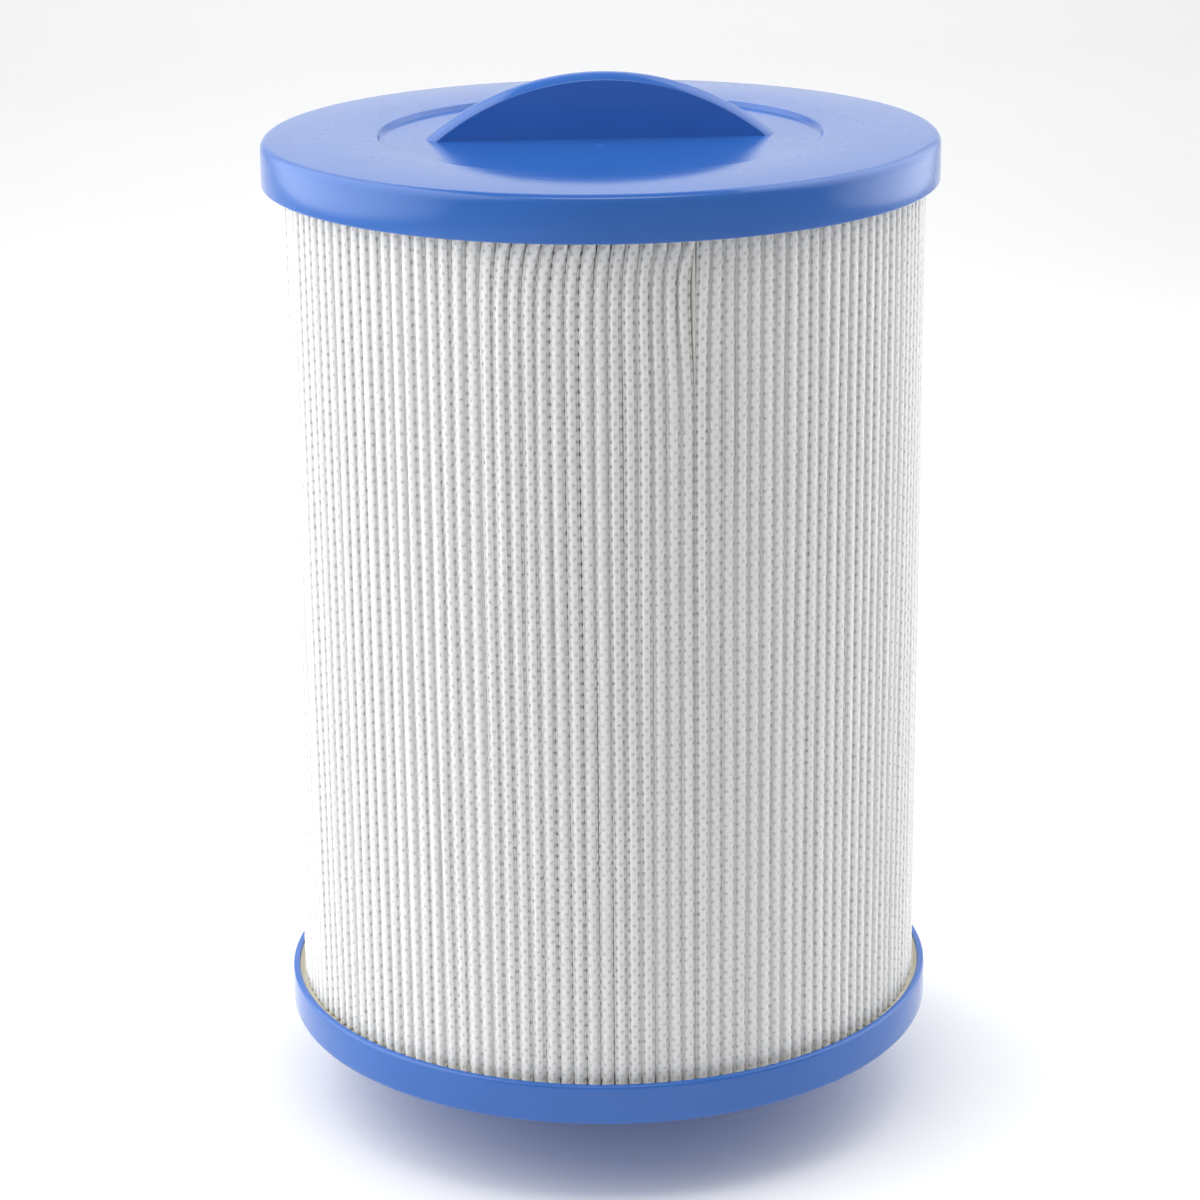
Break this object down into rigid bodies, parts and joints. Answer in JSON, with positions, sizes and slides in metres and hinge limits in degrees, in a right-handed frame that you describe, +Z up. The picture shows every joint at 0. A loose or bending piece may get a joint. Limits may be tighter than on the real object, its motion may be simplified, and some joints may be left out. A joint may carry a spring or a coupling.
{
  "type": "pleated filter cartridge",
  "caption": "Cylindrical pleated water filter cartridge with flat end caps, an arched fin handle on the lid and a threaded outlet spigot below.",
  "frame": {"origin": "centre of the threaded spigot's end face, on the cartridge's axis, where the cartridge stands", "axes": "+Z up along the cartridge's axis, from the thread to the handle; X along the handle"},
  "size_m": [0.152, 0.152, 0.2416],
  "materials": {
    "blue_moulding": "glossy blue moulded plastic",
    "potting": "cream polyurethane adhesive, satin",
    "medium": "white point-bonded polyester fleece, matte",
    "core": "white moulded plastic, satin"
  },
  "bodies": {
    "root": {"top_cap": "blue_moulding", "handle": "blue_moulding", "top_potting": "potting", "pleated_medium": "medium", "side_seam": "potting", "core_lower": "core", "core_upper": "core", "core_plug": "core", "bottom_cap": "blue_moulding", "bottom_potting": "potting", "threaded_adapter": "blue_moulding"}
  },
  "joints": []
}
